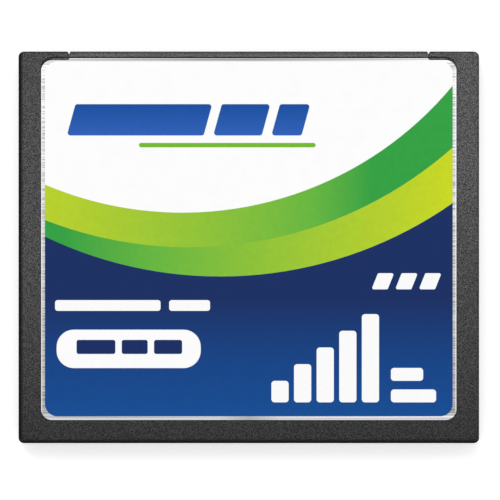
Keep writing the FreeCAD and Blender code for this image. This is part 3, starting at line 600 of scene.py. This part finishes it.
class MEMORYCARD_OT_label(Operator):
    """Gives the label its white vinyl and the printed stripes and field their inks"""

    bl_idname = "memorycard.label"
    bl_label = "Label"

    def execute(self, context):
        ink = context.scene.memorycard_print
        dress(white_vinyl(ink), "front_label")
        sides = (LABEL_LOW.x, LABEL_HIGH.x)
        upper = ((0.0, ink.lime), (0.5, ink.leaf), (0.65, ink.grass), (0.8, ink.emerald))
        dress(gradient_ink("upper_green_ink", "X", *sides, upper), "upper_stripe_print")
        lower = ((0.04, ink.emerald), (0.28, ink.grass), (0.43, ink.leaf), (0.87, ink.lime), (1.0, ink.lemon))
        dress(gradient_ink("lower_green_ink", "X", *sides, lower), "lower_stripe_print")
        field = ((0.0, ink.royal), (0.26, ink.cobalt), (0.55, ink.navy), (1.0, ink.navy))
        dress(gradient_ink("blue_ink", "Y", BLUE_LOW.y, BLUE_HIGH.y, field), "blue_field_print")
        return {"FINISHED"}


class MEMORYCARD_OT_marks(Operator):
    """Prints the label's plain bars and rules"""

    bl_idname = "memorycard.marks"
    bl_label = "Printed Marks"

    def execute(self, context):
        ink = context.scene.memorycard_print
        on_label, on_blue = LABEL_HIGH.z, BLUE_HIGH.z
        gauge = BLUE_HIGH.z - LABEL_HIGH.z
        fade = ((0.0, ink.banner_rear), (1.0, ink.banner_front))
        blue = gradient_ink("blue_mark_ink", "Y", BANNER.foot * MM, BANNER.top * MM, fade)
        print_marks("label_blue_bars", BANNER.outlines(), on_label, gauge, blue)
        green = flat_ink("green_mark_ink", ink.rule_green)
        print_marks("label_green_rule", RULE.outlines(), on_label, gauge, green)
        dark = flat_ink("navy_mark_ink", ink.navy)
        print_marks("pill_bars", WINDOW_BARS.outlines(), on_label, gauge, dark)
        white = flat_ink("white_mark_ink", ink.mark_white, 0.97)
        marks = [outline for row in WHITE_ROWS for outline in row.outlines()]
        print_marks("label_white_bars", marks, on_blue, ink.mark_gauge, white)
        return {"FINISHED"}


class MEMORYCARD_OT_socket(Operator):
    """Gives the socket's moulding its plastic and its contacts their gold plating"""

    bl_idname = "memorycard.socket"
    bl_label = "Pin Socket"

    def execute(self, context):
        dress(socket_plastic(context.scene.memorycard_plastic), "socket_housing")
        gold = plated("gold_contact", context.scene.memorycard_inside.gold, 0.24)
        dress(gold, "upper_contacts", "lower_contacts")
        return {"FINISHED"}


class MEMORYCARD_OT_board(Operator):
    """Gives the circuit board and the parts soldered to it their finishes"""

    bl_idname = "memorycard.board"
    bl_label = "Circuit Board"

    def execute(self, context):
        inside = context.scene.memorycard_inside
        dress(circuit_board(inside), "circuit_board")
        chips = ("left_flash_chip", "right_flash_chip", "controller_chip", "regulator")
        dress(epoxy_package(inside), *chips)
        leads = ("left_flash_leads", "right_flash_leads", "controller_leads", "regulator_leads")
        dress(plated("tinned_lead", inside.tin, 0.32), *leads, "capacitor_ends", "resistor_ends")
        dress(plated("crystal_can", inside.can, 0.28), "crystal")
        ceramic = speckled("capacitor_ceramic", inside.ceramic, 0.5, 0.1 * MM, 0.004 * MM)
        dress(ceramic, "capacitor_bodies")
        glaze = speckled("resistor_glaze", inside.glaze, 0.25, 0.08 * MM, 0.003 * MM)
        dress(glaze, "resistor_bodies")
        return {"FINISHED"}


class MEMORYCARD_OT_stage(Operator):
    """Sets up the floor, the sky, the lamps and the camera"""

    bl_idname = "memorycard.stage"
    bl_label = "Stage"

    def execute(self, context):
        settings = context.scene.memorycard_stage
        lay_floor()
        light_world(settings.sky)
        add_lamp("key_lamp", KEY_LAMP_PLACE, settings.key)
        add_lamp("fill_lamp", FILL_LAMP_PLACE, settings.fill)
        camera = bpy.data.objects.new("camera", bpy.data.cameras.new("camera"))
        context.scene.collection.objects.link(camera)
        camera.location = (settings.camera_x, settings.camera_y, FRAME_HIGH.z + settings.camera_height)
        camera.data.sensor_width = SENSOR_WIDTH_MM
        camera.data.lens = SENSOR_WIDTH_MM * settings.camera_height / settings.picture_width
        context.scene.camera = camera
        context.scene.view_settings.view_transform = "Standard"
        return {"FINISHED"}


def background_share(nodes, links):
    """1 for rays that come straight from the camera or by gloss or glass, else 0."""
    path = nodes.new("ShaderNodeLightPath")
    share = path.outputs["Is Camera Ray"]
    for ray in ("Is Glossy Ray", "Is Transmission Ray"):
        either = nodes.new("ShaderNodeMath")
        either.operation = "MAXIMUM"
        links.new(share, either.inputs[0])
        links.new(path.outputs[ray], either.inputs[1])
        share = either.outputs[0]
    return share


def lay_floor():
    """A pale round floor at the card's underside, which keeps the card's shadow."""
    mesh = bpy.data.meshes.new("floor")
    disc = bmesh.new()
    bmesh.ops.create_circle(disc, cap_ends=True, segments=96, radius=FLOOR_RADIUS)
    disc.to_mesh(mesh)
    disc.free()
    floor = bpy.data.objects.new("floor", mesh)
    floor.location.z = CAD_BOX[0][2]
    bpy.context.scene.collection.objects.link(floor)
    material = bpy.data.materials.new("pale_floor")
    material.use_nodes = True
    nodes, links = material.node_tree.nodes, material.node_tree.links
    shader = nodes["Principled BSDF"]
    shader.inputs["Base Color"].default_value = (FLOOR_GREY, FLOOR_GREY, FLOOR_GREY, 1)
    shader.inputs["Roughness"].default_value = 0.9
    shader.inputs["Emission Color"].default_value = (1, 1, 1, 1)
    glow = nodes.new("ShaderNodeMath")
    glow.operation = "MULTIPLY"
    links.new(background_share(nodes, links), glow.inputs[0])
    glow.inputs[1].default_value = FLOOR_GLOW
    links.new(glow.outputs[0], shader.inputs["Emission Strength"])
    mesh.materials.append(material)


def light_world(level):
    """An even white sky at the level, which the camera and reflections see as plain white."""
    world = bpy.data.worlds.new("sky")
    bpy.context.scene.world = world
    world.use_nodes = True
    nodes, links = world.node_tree.nodes, world.node_tree.links
    sky = nodes["Background"]
    sky.inputs["Color"].default_value = (1, 1, 1, 1)
    strength = nodes.new("ShaderNodeMapRange")
    links.new(background_share(nodes, links), strength.inputs["Value"])
    strength.inputs["To Min"].default_value = level
    strength.inputs["To Max"].default_value = 1.0
    links.new(strength.outputs["Result"], sky.inputs["Strength"])


def add_lamp(name, place, power):
    """A round area lamp that faces the card."""
    lamp = bpy.data.objects.new(name, bpy.data.lights.new(name, "AREA"))
    bpy.context.scene.collection.objects.link(lamp)
    lamp.location = place
    lamp.rotation_euler = (-Vector(place)).to_track_quat("-Z", "Y").to_euler()
    lamp.data.shape = "DISK"
    lamp.data.size = LAMP_WIDTH
    lamp.data.energy = power


class MEMORYCARD_PT_build(Panel):
    """Lists the steps that dress the card"""

    bl_idname = "MEMORYCARD_PT_build"
    bl_label = "Memory Card"
    bl_space_type = "VIEW_3D"
    bl_region_type = "UI"
    bl_category = "Memory Card"

    def draw(self, context):
        for operator in OPERATORS:
            self.layout.operator(operator.bl_idname)
        for name in SETTINGS:
            settings = getattr(context.scene, name)
            box = self.layout.box()
            for item in settings.bl_rna.properties:
                if item.identifier in settings.__annotations__:
                    box.prop(settings, item.identifier)


SETTINGS = {
    "memorycard_plastic": PlasticSettings,
    "memorycard_steel": SteelSettings,
    "memorycard_print": PrintSettings,
    "memorycard_inside": InsideSettings,
    "memorycard_stage": StageSettings,
}
OPERATORS = (
    MEMORYCARD_OT_frame,
    MEMORYCARD_OT_covers,
    MEMORYCARD_OT_label,
    MEMORYCARD_OT_marks,
    MEMORYCARD_OT_socket,
    MEMORYCARD_OT_board,
    MEMORYCARD_OT_stage,
)
CLASSES = (*SETTINGS.values(), *OPERATORS, MEMORYCARD_PT_build)


def register():
    for item in CLASSES:
        bpy.utils.register_class(item)
    for name, group in SETTINGS.items():
        setattr(bpy.types.Scene, name, PointerProperty(type=group))


def unregister():
    for name in SETTINGS:
        delattr(bpy.types.Scene, name)
    for item in reversed(CLASSES):
        bpy.utils.unregister_class(item)


def main():
    register()
    bpy.ops.memorycard.frame()
    bpy.ops.memorycard.covers()
    bpy.ops.memorycard.label()
    bpy.ops.memorycard.marks()
    bpy.ops.memorycard.socket()
    bpy.ops.memorycard.board()
    bpy.ops.memorycard.stage()


if __name__ == "__main__":
    main()
